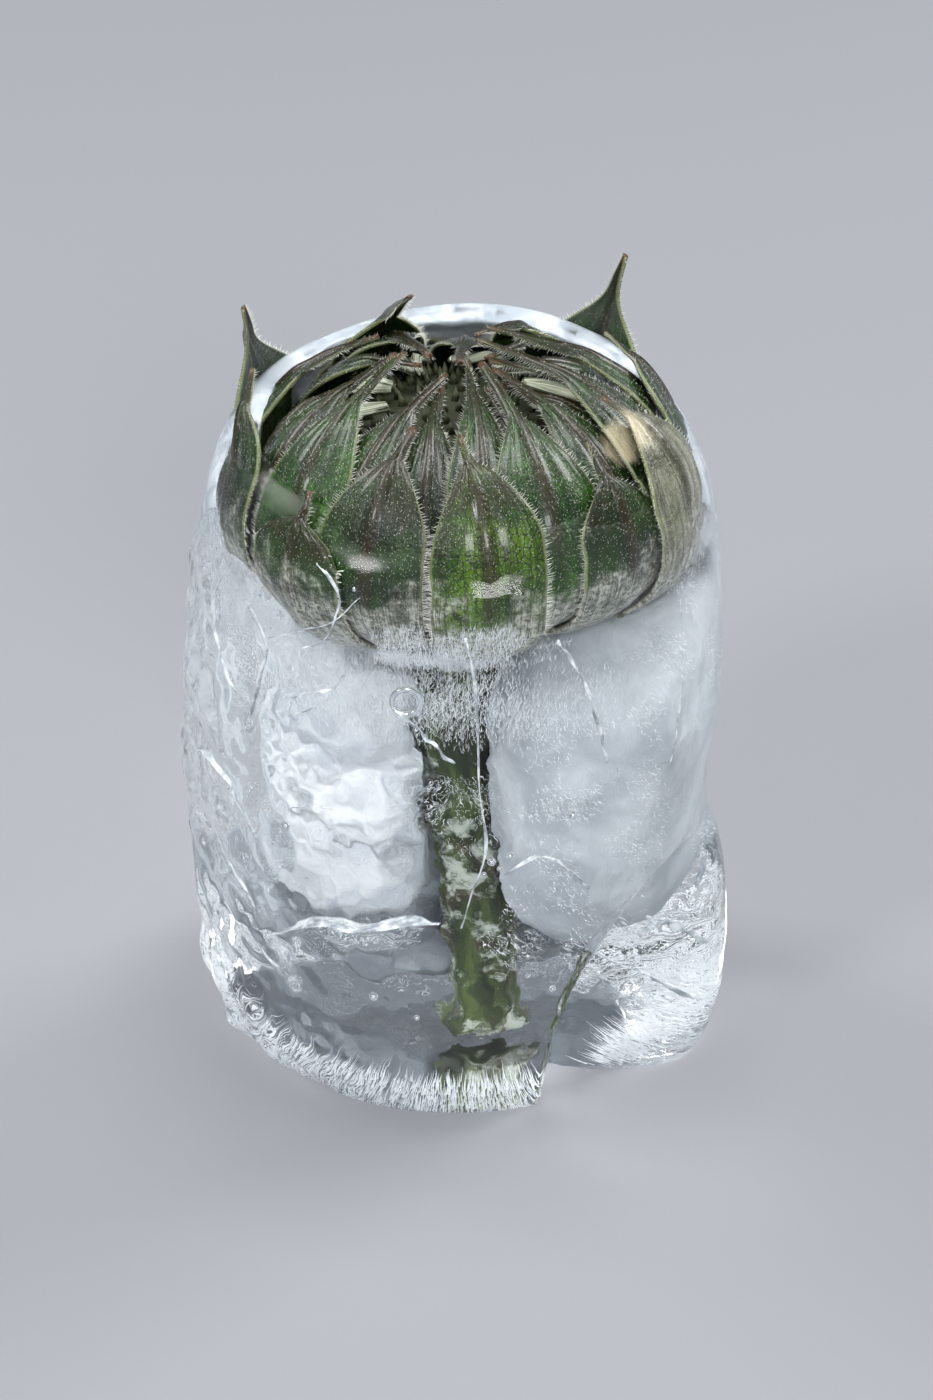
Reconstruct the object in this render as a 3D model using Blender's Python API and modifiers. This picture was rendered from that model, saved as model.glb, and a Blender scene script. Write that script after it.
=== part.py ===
"""A block of clear ice with a sunflower bud frozen in its top.

The block stands on its melted foot, centred on Z. The bud's stem runs down its middle, and the
head sits in a pocket that is open at the top, where the upper bracts come out of the ice.
Azimuths are in degrees round Z, from the front (-Y) towards the right (+X). Latitudes are in
degrees up from the widest ring of the flower head.
"""

from math import acos, atan2, cos, degrees, exp, hypot, pi, radians, sin

import bmesh
import bpy
from mathutils import Vector

# The block: a rounded cylinder, whose squareness is the power of its outline's curve.
ICE_RADIUS = 0.0350
ICE_MIDDLE = 0.0440
ICE_RISE = 0.0436
ICE_DROP = 0.0446
ICE_SQUARENESS_UP = 6.0
ICE_SQUARENESS_DOWN = 8.0
ICE_TAPER = 0.0026
ICE_TAPER_FROM = 0.046
ICE_TOP_SLOPE = 0.045
ICE_SEGMENTS = 40
ICE_RINGS = 24

# Swellings and hollows that melting left: azimuth, height, spread in degrees, spread in height, depth.
MELT_MARKS = (
    (-88, 0.044, 34, 0.022, 0.0005),
    (-38, 0.058, 24, 0.013, -0.0010),
    (-12, 0.030, 20, 0.014, 0.0006),
    (-60, 0.018, 18, 0.011, -0.0009),
    (22, 0.062, 20, 0.015, 0.0006),
    (72, 0.060, 30, 0.016, -0.0015),
    (92, 0.036, 36, 0.013, -0.0028),
    (84, 0.081, 34, 0.009, -0.0009),
    (168, 0.084, 26, 0.008, 0.0010),
    (136, 0.050, 28, 0.020, -0.0010),
    (205, 0.034, 26, 0.018, 0.0007),
    (240, 0.064, 24, 0.014, -0.0008),
)

# A shell of ice has broken off low at the front right, and a clear lobe stands in the hollow.
FLAKE_MIDDLE = Vector((0.0362, -0.0250, 0.0040))
FLAKE_RADII = Vector((0.0262, 0.0250, 0.0335))
FLAKE_SQUARENESS = 2.2
LOBE_MIDDLE = Vector((0.0194, -0.0066, 0.0160))
LOBE_RADII = Vector((0.0152, 0.0148, 0.0204))
LOBE_SQUARENESS = 2.6
LUMP_SEGMENTS = 24
LUMP_RINGS = 16

# The flower head: layers of bracts that lie on nested domes, numbered outwards.
HEAD_HEIGHT = 0.0790
HEAD_RADIUS = 0.0232
HEAD_RISE = 0.0120
HEAD_DROP = 0.0126
LAYER_STEP = 0.0013
BRACT_THICKNESS = 0.0006
BRACT_FOOT_RADIUS = 0.0080
BRACT_FOOT_SHARE = 0.34
BRACT_TIP_SHARE = 0.05
BRACT_TAIL_SHARE = 0.12
BRACT_FULL_UNTIL = 0.25
BRACT_TAPER = 0.45
STANDING_TAPER = 1.1
STANDING_LIFT = 0.012
BRACT_KEEL = 0.00022
KEEL_SPREAD = 0.3
KEEL_ENDS = 6
LOWER_LENGTH = 0.029
CURVED_LENGTH = 1.08
TIP_TURN = 1.6
LIFT_CURVE = 1.4
LEAVES_DOME = 0.0025
BRACT_COLUMNS = {4: 4, 3: 4, 2: 4, 1: 2, 0: 2}
BRACT_ROWS = {4: 9, 3: 9, 2: 8, 1: 7, 0: 6}
BRACT_TAILS = {4: 0.0040, 3: 0.0045, 2: 0.0090, 1: 0.0070, 0: 0.0060}

# Each bract: azimuth and width of its blade, where its tip lies (x and y), and how far the tip
# stands up off the head's dome.
BRACTS = {
    4: (
        (7, 0.0134, 0.0001, -0.0168, 0.0),
        (-43, 0.0130, -0.0175, -0.0188, 0.0),
        (71, 0.0145, 0.0170, -0.0060, 0.0),
        (144, 0.0150, 0.0205, 0.0195, 0.0180),
        (190, 0.0145, -0.0045, 0.0255, 0.0),
        (240, 0.0150, -0.0264, 0.0080, 0.0140),
    ),
    3: (
        (-23, 0.0132, -0.0056, -0.0140, 0.0),
        (46, 0.0132, 0.0150, -0.0140, 0.0),
        (102, 0.0130, 0.0180, 0.0155, 0.0030),
        (165, 0.0138, 0.0060, 0.0220, 0.0),
        (212, 0.0138, -0.0120, 0.0195, 0.0),
        (-79, 0.0128, -0.0250, 0.0025, 0.0070),
    ),
    2: (
        (26, 0.0135, 0.0027, -0.0010, 0.0005),
        (74, 0.0125, 0.0020, 0.0045, 0.0008),
        (107, 0.0120, 0.0034, 0.0068, 0.0005),
        (156, 0.0125, 0.0020, 0.0085, 0.0),
        (206, 0.0125, -0.0056, 0.0065, 0.0022),
        (252, 0.0120, -0.0100, 0.0090, 0.0010),
        (-49, 0.0125, -0.0066, 0.0025, 0.0006),
    ),
    1: (
        (8, 0.0095, 0.0009, 0.0030, 0.0),
        (52, 0.0105, 0.0040, 0.0010, 0.0),
        (92, 0.0105, 0.0035, 0.0030, 0.0),
        (146, 0.0105, 0.0030, 0.0045, 0.0),
        (205, 0.0110, -0.0040, 0.0050, 0.0),
        (-68, 0.0105, -0.0075, 0.0045, 0.0),
        (-34, 0.0105, -0.0019, -0.0005, 0.0),
    ),
    0: (
        (-11, 0.0095, -0.0023, -0.0015, 0.0),
        (30, 0.0095, 0.0030, -0.0020, 0.0),
        (76, 0.0090, 0.0040, 0.0, 0.0),
        (126, 0.0090, 0.0030, 0.0030, 0.0),
        (178, 0.0090, 0.0, 0.0050, 0.0),
        (230, 0.0090, -0.0050, 0.0050, 0.0),
        (-90, 0.0090, -0.0115, 0.0045, 0.0),
    ),
}

# The young petals, folded in over the disc inside the innermost bracts.
PETAL_LAYER = -1
PETAL_COUNT = 11
PETAL_WIDTH = 0.0062
PETAL_FOOT_LATITUDE = -4
PETAL_TIP_LATITUDE = 64
PETAL_SWEEP = 20
PETAL_ROWS = 5
PETAL_COLUMNS = 2

# The base that carries the bracts, the closed disc on it, and the stem: heights and radii.
DISC_LAYER = -2
DISC_RIM_LATITUDE = -9
BASE_RIM_LATITUDE = -11
BASE_FOOT_LATITUDE = -72
TURNED_STEPS = 28
STEM_RINGS = (
    (0.0024, 0.0039),
    (0.0060, 0.0035),
    (0.0180, 0.00315),
    (0.0320, 0.0031),
    (0.0440, 0.0033),
    (0.0530, 0.0038),
    (0.0590, 0.0049),
    (0.0630, 0.0064),
    (0.0668, 0.0072),
)
STEM_SIDES = 12
STEM_LEAN = Vector((0.0022, -0.0008))
STEM_LEAN_FROM = 0.060

PIECE_GAP = 0.00035
POCKET_GAP = 0.00045
SLOT_GAP = 0.00040
SLOT_INWARD = 0.0030

ICE_COLOUR = (0.86, 0.90, 0.94, 0.4)
BRACT_COLOURS = {
    4: (0.105, 0.160, 0.045, 1),
    3: (0.090, 0.145, 0.042, 1),
    2: (0.110, 0.120, 0.055, 1),
    1: (0.120, 0.110, 0.065, 1),
    0: (0.130, 0.150, 0.075, 1),
}
PETAL_COLOUR = (0.33, 0.44, 0.17, 1)
DISC_COLOUR = (0.20, 0.27, 0.09, 1)
BASE_COLOUR = (0.22, 0.30, 0.12, 1)
STEM_COLOUR = (0.20, 0.27, 0.085, 1)


def clear_scene():
    for obj in list(bpy.data.objects):
        bpy.data.objects.remove(obj)


def new_collection(name):
    collection = bpy.data.collections.new(name)
    bpy.context.scene.collection.children.link(collection)
    return collection


def add_mesh_object(name, bm, collection):
    mesh = bpy.data.meshes.new(name)
    bm.to_mesh(mesh)
    bm.free()
    mesh.shade_smooth()
    obj = bpy.data.objects.new(name, mesh)
    collection.objects.link(obj)
    return obj


def make_cutter(obj):
    obj.hide_render = True
    obj.display_type = "WIRE"
    return obj


def finish(name, colour, roughness, transmission=0.0):
    material = bpy.data.materials.new(name)
    material.use_nodes = True
    shader = material.node_tree.nodes["Principled BSDF"]
    shader.inputs["Base Color"].default_value = colour
    shader.inputs["Roughness"].default_value = roughness
    shader.inputs["Transmission Weight"].default_value = transmission
    return material


def smoothstep(share):
    share = min(max(share, 0.0), 1.0)
    return share * share * (3 - 2 * share)


def mix(start, end, share):
    return start + (end - start) * share


def boolean(obj, operation, other):
    """A cut or a join. The exact solver leaves open slivers where the slots graze the pocket."""
    modifier = obj.modifiers.new(f"{operation.lower()} {other.name}", "BOOLEAN")
    modifier.operation = operation
    modifier.object = other
    modifier.solver = "MANIFOLD"


def at_azimuth(azimuth, radius, height):
    """The point this far from Z, at an azimuth in degrees."""
    turn = radians(azimuth)
    return Vector((radius * sin(turn), -radius * cos(turn), height))


def melt_depth(azimuth, height):
    """How far the melted surface stands out of the plain rounded cylinder there."""
    depth = 0.0
    for mark_azimuth, mark_height, spread, tall, amount in MELT_MARKS:
        turn = (azimuth - mark_azimuth + 180) % 360 - 180
        depth += amount * exp(-((turn / spread) ** 2) - ((height - mark_height) / tall) ** 2)
    return depth


def ice_point(direction):
    """The point of the block's skin that lies in this direction from its middle."""
    flat = hypot(direction.x, direction.y)
    rising = direction.z > 0
    reach_up = ICE_RISE if rising else ICE_DROP
    power = ICE_SQUARENESS_UP if rising else ICE_SQUARENESS_DOWN
    reach = ((flat / ICE_RADIUS) ** power + (abs(direction.z) / reach_up) ** power) ** (-1 / power)
    height = ICE_MIDDLE + reach * direction.z
    share = reach * flat / ICE_RADIUS
    azimuth = degrees(atan2(direction.x, -direction.y))
    taper = ICE_TAPER * smoothstep((height - ICE_TAPER_FROM) / (ICE_MIDDLE + ICE_RISE - ICE_TAPER_FROM))
    radius = share * (ICE_RADIUS - taper + melt_depth(azimuth, height))
    point = at_azimuth(azimuth, radius, height)
    point.z += ICE_TOP_SLOPE * point.y * smoothstep((height - ICE_MIDDLE) / ICE_RISE)
    point.z = max(point.z, 0.0)
    return point


def add_sphere(name, collection, segments, rings, place):
    """A sphere whose points are each put where place says, from their direction."""
    bm = bmesh.new()
    bmesh.ops.create_uvsphere(bm, u_segments=segments, v_segments=rings, radius=1)
    for vert in bm.verts:
        vert.co = place(vert.co.normalized())
    return add_mesh_object(name, bm, collection)


def squared_point(direction, middle, radii, squareness):
    """The point in this direction on an ellipsoid that a higher squareness swells to a box."""
    total = sum(abs(part / radius) ** squareness for part, radius in zip(direction, radii))
    return middle + direction * total ** (-1 / squareness)


def flake_point(direction):
    return squared_point(direction, FLAKE_MIDDLE, FLAKE_RADII, FLAKE_SQUARENESS)


def lobe_point(direction):
    point = squared_point(direction, LOBE_MIDDLE, LOBE_RADII, LOBE_SQUARENESS)
    point.z = max(point.z, 0.0)
    return point


def add_turned(name, profile, collection):
    """A solid turned round Z from points of radius and height, given from the top down."""
    bm = bmesh.new()
    verts = [bm.verts.new((radius, 0, height)) for radius, height in profile]
    for upper, lower in zip(verts, verts[1:]):
        bm.edges.new((upper, lower))
    obj = add_mesh_object(name, bm, collection)
    screw = obj.modifiers.new("turn", "SCREW")
    screw.steps = TURNED_STEPS
    screw.render_steps = TURNED_STEPS
    screw.use_merge_vertices = True
    screw.merge_threshold = 0.00001
    return obj


def dome(outset, latitude):
    """Radius and height on the dome that lies this far outside the innermost layer of bracts."""
    turn = radians(latitude)
    rise = HEAD_RISE if latitude > 0 else HEAD_DROP
    return (HEAD_RADIUS + outset) * cos(turn), HEAD_HEIGHT + (rise + outset) * sin(turn)


def dome_profile(outset, top, bottom, points):
    return [dome(outset, mix(top, bottom, i / (points - 1))) for i in range(points)]


class Bract:
    """The form of one bract: its midline over the head, and its outline from the foot to the tip."""

    def __init__(self, layer, shape):
        self.azimuth, self.width, tip_x, tip_y, self.lift = shape
        self.radius = HEAD_RADIUS + layer * LAYER_STEP
        self.rise = HEAD_RISE + layer * LAYER_STEP
        self.drop = HEAD_DROP + layer * LAYER_STEP
        self.foot = acos(BRACT_FOOT_RADIUS / self.radius)
        self.start = at_azimuth(self.azimuth, self.radius, 0)
        self.tip = Vector((tip_x, tip_y, 0))
        run = (self.tip - self.start).normalized()
        self.side = Vector((run.y, -run.x, 0))
        if self.side.dot(at_azimuth(self.azimuth + 90, 1, 0)) < 0:
            self.side.negate()
        upper = hypot((self.tip - self.start).length, self.over_dome(self.tip) + self.lift) * CURVED_LENGTH
        lower = LOWER_LENGTH * self.radius / (HEAD_RADIUS + max(BRACTS) * LAYER_STEP)
        self.equator = lower / (lower + upper)
        self.tail = BRACT_TAILS[layer] / upper
        self.standing = min(self.lift / STANDING_LIFT, 1.0)

    def over_dome(self, plan):
        """How high this layer's dome is over this place, above its widest ring."""
        return self.rise * max(0.0, 1 - plan.to_2d().length_squared / self.radius ** 2) ** 0.5

    def outline(self, along):
        """The blade's width there as a share of its widest: full past the middle, then a long tail."""
        if along < self.equator:
            return mix(BRACT_FOOT_SHARE, 1.0, sin(pi / 2 * along / self.equator))
        share = (along - self.equator) / (1 - self.equator)
        narrowing = (share - BRACT_FULL_UNTIL) / (1 - self.tail - BRACT_FULL_UNTIL)
        narrowing = min(max(narrowing, 0.0), 1.0)
        tail = mix(BRACT_TAIL_SHARE, BRACT_TIP_SHARE, max(0.0, (share - 1 + self.tail) / self.tail))
        taper = mix(BRACT_TAPER, STANDING_TAPER, self.standing)
        return mix(tail, 1.0, ((1 + cos(pi * narrowing)) / 2) ** taper)

    def point(self, across, along, gap, inward):
        """A point of the inner face: its sides moved out by the gap, and the whole moved inward."""
        half = self.width * self.outline(along) / 2 + gap
        if along < self.equator:
            latitude = -self.foot * (1 - along / self.equator)
            reach = self.radius * cos(latitude)
            turn = degrees(across * half / max(reach, half))
            point = at_azimuth(self.azimuth + turn, reach, self.drop * sin(latitude))
            normal = Vector((point.x, point.y, point.z * (self.radius / self.drop) ** 2))
        else:
            share = (along - self.equator) / (1 - self.equator)
            plan = self.tip + (self.start - self.tip) * cos(pi / 2 * share)
            turn = across * half / max(plan.length, half)
            turned = plan * cos(turn) + Vector((-plan.y, plan.x, 0)) * sin(turn)
            straight = plan + self.side * across * half
            point = turned.lerp(straight, smoothstep(share * TIP_TURN) * (1 - self.standing))
            point *= min(1.0, self.radius / point.length)
            upright = 1 - self.standing * smoothstep(2 * share)
            height = self.over_dome(point)
            normal = Vector((point.x, point.y, height * (self.radius / self.rise) ** 2 * upright))
            point.z = height + self.lift * share ** LIFT_CURVE
        point.z += HEAD_HEIGHT
        ends = smoothstep(KEEL_ENDS * min(along, 1 - along))
        keel = BRACT_KEEL * exp(-((across / KEEL_SPREAD) ** 2)) * ends
        return point + normal.normalized() * (keel - inward)


def add_bract(name, layer, shape, collection, gap=0.0, inward=0.0):
    """One bract, or with a gap the slot round it, which runs inward to open into the pocket."""
    bract = Bract(layer, shape)
    bm = bmesh.new()
    bmesh.ops.create_grid(bm, x_segments=BRACT_COLUMNS[layer], y_segments=BRACT_ROWS[layer], size=1)
    for vert in bm.verts:
        vert.co = bract.point(vert.co.x, (vert.co.y + 1) / 2, gap, inward)
    obj = add_mesh_object(name, bm, collection)
    solidify = obj.modifiers.new("leaf thickness", "SOLIDIFY")
    solidify.thickness = BRACT_THICKNESS + gap + inward
    solidify.offset = 1
    return obj


def add_petal(name, azimuth, collection):
    """One young petal: a narrow strip that lies on the dome inside the bracts."""
    bm = bmesh.new()
    bmesh.ops.create_grid(bm, x_segments=PETAL_COLUMNS, y_segments=PETAL_ROWS, size=1)
    for vert in bm.verts:
        across, along = vert.co.x, (vert.co.y + 1) / 2
        radius, height = dome(PETAL_LAYER * LAYER_STEP, mix(PETAL_FOOT_LATITUDE, PETAL_TIP_LATITUDE, along))
        half = PETAL_WIDTH / 2 * (1 - 0.8 * along ** 2)
        turn = azimuth + PETAL_SWEEP * along ** 2 + degrees(across * half / radius)
        vert.co = at_azimuth(turn, radius, height)
    obj = add_mesh_object(name, bm, collection)
    solidify = obj.modifiers.new("petal thickness", "SOLIDIFY")
    solidify.thickness = BRACT_THICKNESS
    solidify.offset = 1
    return obj


def place_ring(verts, height, radius):
    """Moves a ring of points onto the stem's outline at this height. The stem leans at its foot."""
    centre = sum((vert.co for vert in verts), Vector()) / len(verts)
    middle = STEM_LEAN * max(0.0, 1 - height / STEM_LEAN_FROM)
    for vert in verts:
        flat = (vert.co - centre).to_2d().normalized() * radius
        vert.co = (middle.x + flat.x, middle.y + flat.y, height)


def add_stem(name, collection, gap=0.0):
    """The stem, or with a gap the bore round it: a cylinder drawn up through rings of its own radii."""
    rings = [(height, radius + gap) for height, radius in STEM_RINGS]
    rings[0] = (rings[0][0] - gap, rings[0][1])
    rings[-1] = (rings[-1][0] + gap, rings[-1][1])
    bm = bmesh.new()
    bmesh.ops.create_cone(bm, cap_ends=True, segments=STEM_SIDES, radius1=1, radius2=1, depth=2)
    caps = [face for face in bm.faces if len(face.verts) == STEM_SIDES]
    foot, cap = sorted(caps, key=lambda face: face.calc_center_median().z)
    place_ring(foot.verts, *rings[0])
    place_ring(cap.verts, *rings[1])
    for ring in rings[2:]:
        cap = bmesh.ops.extrude_discrete_faces(bm, faces=[cap])["faces"][0]
        place_ring(cap.verts, *ring)
    return add_mesh_object(name, bm, collection)


def add_head(collection):
    """The bracts, whose rings are numbered from the outside in, and the young petals."""
    for layer, shapes in BRACTS.items():
        colour = finish(f"bract green {layer}", BRACT_COLOURS[layer], 0.55)
        for number, shape in enumerate(shapes, 1):
            bract = add_bract(f"bract_{len(BRACTS) - layer}_{number}", layer, shape, collection)
            bract.data.materials.append(colour)
    petal_green = finish("young petal", PETAL_COLOUR, 0.5)
    for number in range(PETAL_COUNT):
        petal = add_petal(f"petal_{number + 1}", 360 * number / PETAL_COUNT, collection)
        petal.data.materials.append(petal_green)


def add_base_and_disc(collection):
    """The base under the bracts, and the closed disc of florets that rests on it."""
    disc = dome_profile(DISC_LAYER * LAYER_STEP, 90, DISC_RIM_LATITUDE, 7)
    disc[0] = (0.0, disc[0][1])
    floret_disc = add_turned("floret_disc", disc + [(0.0, disc[-1][1])], collection)
    floret_disc.data.materials.append(finish("closed florets", DISC_COLOUR, 0.7))
    rim_height = disc[-1][1] - PIECE_GAP
    base = dome_profile(-2 * PIECE_GAP, BASE_RIM_LATITUDE, BASE_FOOT_LATITUDE, 6)
    base = [(radius, min(height, rim_height)) for radius, height in base]
    flower_base = add_turned("flower_base", [(0.0, base[0][1])] + base + [(0.0, base[-1][1])], collection)
    flower_base.data.materials.append(finish("green base", BASE_COLOUR, 0.6))


def add_ice(collection, cutters):
    ice = add_sphere("ice_block", collection, ICE_SEGMENTS, ICE_RINGS, ice_point)
    flake = make_cutter(add_sphere("lost_flake", cutters, LUMP_SEGMENTS, LUMP_RINGS, flake_point))
    lobe = make_cutter(add_sphere("ice_lobe", cutters, LUMP_SEGMENTS, LUMP_RINGS, lobe_point))
    boolean(ice, "DIFFERENCE", flake)
    boolean(ice, "UNION", lobe)
    bracts_reach = max(BRACTS) * LAYER_STEP + BRACT_THICKNESS + BRACT_KEEL
    pocket = dome_profile(bracts_reach + POCKET_GAP, 90, -90, 23)
    pocket[0], pocket[-1] = (0.0, pocket[0][1]), (0.0, pocket[-1][1])
    boolean(ice, "DIFFERENCE", make_cutter(add_turned("head_pocket", pocket, cutters)))
    boolean(ice, "DIFFERENCE", make_cutter(add_stem("stem_bore", cutters, POCKET_GAP)))
    for layer, shapes in BRACTS.items():
        for number, shape in enumerate(shapes, 1):
            if shape[-1] > LEAVES_DOME:
                slot = add_bract(f"slot_{layer}_{number}", layer, shape, cutters, SLOT_GAP, SLOT_INWARD)
                boolean(ice, "DIFFERENCE", make_cutter(slot))
    ice.data.materials.append(finish("clear ice", ICE_COLOUR, 0.08, 1.0))


def main():
    clear_scene()
    parts = new_collection("bud frozen in ice")
    cutters = new_collection("cutters")
    add_head(parts)
    add_base_and_disc(parts)
    stem = add_stem("stem", parts)
    stem.data.materials.append(finish("stem green", STEM_COLOUR, 0.6))
    add_ice(parts, cutters)


main()
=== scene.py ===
from math import acos, atan2, cos, degrees, exp, hypot, pi, radians, sin
import random

import bpy
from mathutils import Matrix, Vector, noise
from mathutils.bvhtree import BVHTree
import numpy as np


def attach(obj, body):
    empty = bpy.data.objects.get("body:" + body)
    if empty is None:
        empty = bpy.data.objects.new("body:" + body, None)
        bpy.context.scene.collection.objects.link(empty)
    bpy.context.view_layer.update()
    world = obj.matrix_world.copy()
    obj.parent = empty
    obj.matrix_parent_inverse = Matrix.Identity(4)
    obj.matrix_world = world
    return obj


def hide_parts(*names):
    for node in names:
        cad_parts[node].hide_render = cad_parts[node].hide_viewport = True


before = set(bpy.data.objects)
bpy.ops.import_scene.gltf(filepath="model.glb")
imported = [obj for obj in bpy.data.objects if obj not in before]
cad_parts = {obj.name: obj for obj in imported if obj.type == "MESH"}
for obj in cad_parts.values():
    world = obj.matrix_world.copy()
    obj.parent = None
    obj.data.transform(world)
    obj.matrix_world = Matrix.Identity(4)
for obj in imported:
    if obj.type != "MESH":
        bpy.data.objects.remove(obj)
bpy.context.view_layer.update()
MM = 0.001

# The stem: one fleshy green stalk that swells to a neck under the head. It grew as one piece,
# ribbed along its length, and is frozen fast down the middle of the ice, with frost on its skin.
STEM_RINGS = (
    (2.4, 3.9), (4.0, 3.8), (6.0, 3.5), (18.0, 3.15), (32.0, 3.1),
    (44.0, 3.3), (53.0, 3.8), (59.0, 4.9), (63.0, 6.4), (66.8, 7.2),
)
STEM_LEAN = (2.2, -0.8)
STEM_LEAN_FROM = 60
STEM_RIBS = 9
STEM_RIB_DEPTH = 0.16
STEM_LUMP = 0.14


def mix(start, end, share):
    return start + (end - start) * share


def smoothstep(share):
    share = min(max(share, 0.0), 1.0)
    return share * share * (3 - 2 * share)


def between(pairs, position):
    """The value at this position on a line through sorted pairs of position and value."""
    for (start, low), (end, high) in zip(pairs, pairs[1:]):
        if position <= end:
            return mix(low, high, smoothstep((position - start) / (end - start)))
    return pairs[-1][1]


def add_only(add, **settings):
    """Adds a primitive with nothing else selected, and returns it."""
    bpy.ops.object.select_all(action="DESELECT")
    add(**settings)
    return bpy.context.object


def laid_grid(name, across, along, place):
    """A grid primitive whose points are put where place(u, v) says, in millimetres."""
    piece = add_only(bpy.ops.mesh.primitive_grid_add, x_subdivisions=across, y_subdivisions=along, size=2)
    piece.name = piece.data.name = name
    for vert in piece.data.vertices:
        vert.co = place((vert.co.x + 1) / 2, (vert.co.y + 1) / 2) * MM
    return piece


def in_edit_mode(piece, *steps):
    """Runs edit-mode steps, each an operator and its settings, on all of one piece."""
    bpy.ops.object.select_all(action="DESELECT")
    piece.select_set(True)
    bpy.context.view_layer.objects.active = piece
    bpy.ops.object.mode_set(mode="EDIT")
    bpy.ops.mesh.select_all(action="SELECT")
    for step, settings in steps:
        step(**settings)
    bpy.ops.object.mode_set(mode="OBJECT")


MERGE_WITHIN = 0.00002


def close_up(piece, sides=200):
    """Merges a wrapped grid's seam and poles, fills its ends and turns its faces outwards."""
    in_edit_mode(
        piece,
        (bpy.ops.mesh.remove_doubles, {"threshold": MERGE_WITHIN}),
        (bpy.ops.mesh.fill_holes, {"sides": sides}),
        (bpy.ops.mesh.normals_make_consistent, {"inside": False}),
    )


def apply_modifier(piece, kind, **settings):
    """Adds one modifier with these settings and applies it."""
    bpy.ops.object.select_all(action="DESELECT")
    piece.select_set(True)
    bpy.context.view_layer.objects.active = piece
    modifier = piece.modifiers.new(kind.lower(), kind)
    for key, value in settings.items():
        setattr(modifier, key, value)
    bpy.ops.object.modifier_apply(modifier=modifier.name)


def shade_smooth(piece):
    bpy.ops.object.select_all(action="DESELECT")
    piece.select_set(True)
    bpy.context.view_layer.objects.active = piece
    bpy.ops.object.shade_smooth()


def dress(piece, material, slot, *replaced):
    """Gives a piece its finish and its place in the part: what it rides on and stands for. The slot is not
    used.
    """
    piece.data.materials.clear()
    piece.data.materials.append(material)
    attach(piece, "root")
    if replaced:
        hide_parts(*replaced)


class Shading:
    """A material on a Principled shader, with short ways to add and join its nodes."""

    def __init__(self, name, **values):
        self.material = bpy.data.materials.new(name)
        self.material.use_nodes = True
        self.tree = self.material.node_tree
        self.shader = self.tree.nodes["Principled BSDF"]
        for key, value in values.items():
            socket = key.replace("_", " ").title().replace("Ior", "IOR")
            self.shader.inputs[socket].default_value = value

    def put(self, value, socket):
        if isinstance(value, bpy.types.NodeSocket):
            self.tree.links.new(value, socket)
        elif value is not None:
            socket.default_value = value

    def node(self, kind, **properties):
        made = self.tree.nodes.new(kind)
        for key, value in properties.items():
            setattr(made, key, value)
        return made

    def math(self, operation, first, second=None, clamp=False):
        made = self.node("ShaderNodeMath", operation=operation, use_clamp=clamp)
        self.put(first, made.inputs[0])
        self.put(second, made.inputs[1])
        return made.outputs[0]

    def ramp(self, value, low, high, at_low=0.0, at_high=1.0):
        """A smooth step from at_low to at_high as value goes from low to high."""
        made = self.node("ShaderNodeMapRange", interpolation_type="SMOOTHSTEP")
        self.put(value, made.inputs["Value"])
        for key, number in (("From Min", low), ("From Max", high), ("To Min", at_low), ("To Max", at_high)):
            made.inputs[key].default_value = number
        return made.outputs[0]

    def mixed(self, share, first, second, blend="MIX"):
        """A colour between two colours."""
        made = self.node("ShaderNodeMix", data_type="RGBA", blend_type=blend)
        self.put(share, made.inputs[0])
        self.put(first, made.inputs[6])
        self.put(second, made.inputs[7])
        return made.outputs[2]

    def place(self, kind="Object", scale=(1, 1, 1), turn=(0, 0, 0)):
        """Texture coordinates, stretched by scale. Kind is Object or UV."""
        source = self.node("ShaderNodeTexCoord").outputs[kind]
        made = self.node("ShaderNodeMapping")
        self.put(source, made.inputs["Vector"])
        made.inputs["Scale"].default_value = scale
        made.inputs["Rotation"].default_value = turn
        return made.outputs[0]

    def noise(self, where, scale, detail=3.0, roughness=0.55, distortion=0.0):
        made = self.node("ShaderNodeTexNoise")
        self.put(where, made.inputs["Vector"])
        numbers = {"Scale": scale, "Detail": detail, "Roughness": roughness, "Distortion": distortion}
        for key, number in numbers.items():
            made.inputs[key].default_value = number
        return made.outputs["Fac"]

    def cells(self, where, scale, feature="F1", randomness=1.0):
        made = self.node("ShaderNodeTexVoronoi", feature=feature)
        self.put(where, made.inputs["Vector"])
        made.inputs["Scale"].default_value = scale
        made.inputs["Randomness"].default_value = randomness
        return made.outputs["Distance"]

    def axis(self, where, name):
        made = self.node("ShaderNodeSeparateXYZ")
        self.put(where, made.inputs[0])
        return made.outputs[name]

    def relief(self, height, strength, distance):
        made = self.node("ShaderNodeBump")
        self.put(height, made.inputs["Height"])
        made.inputs["Strength"].default_value = strength
        made.inputs["Distance"].default_value = distance
        self.put(made.outputs[0], self.shader.inputs["Normal"])

    def set(self, **sockets):
        for key, value in sockets.items():
            self.put(value, self.shader.inputs[key.replace("_", " ").title()])


def stem_point(u, v):
    """A point of the stem, from its foot (v = 0) to its neck, u of the way round it."""
    height = mix(STEM_RINGS[0][0], STEM_RINGS[-1][0], v)
    turn = 2 * pi * u
    radius = between(STEM_RINGS, height) + STEM_RIB_DEPTH * cos(STEM_RIBS * turn + height * 0.04)
    lean = max(0.0, 1 - height / STEM_LEAN_FROM)
    side = Vector((sin(turn), -cos(turn), 0))
    radius += STEM_LUMP * noise.noise(side * 2.2 + Vector((0, 0, height * 0.16)))
    return Vector((STEM_LEAN[0] * lean, STEM_LEAN[1] * lean, height)) + side * radius


stem = laid_grid("stem_stalk", 54, 110, stem_point)
close_up(stem)
shade_smooth(stem)

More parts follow.
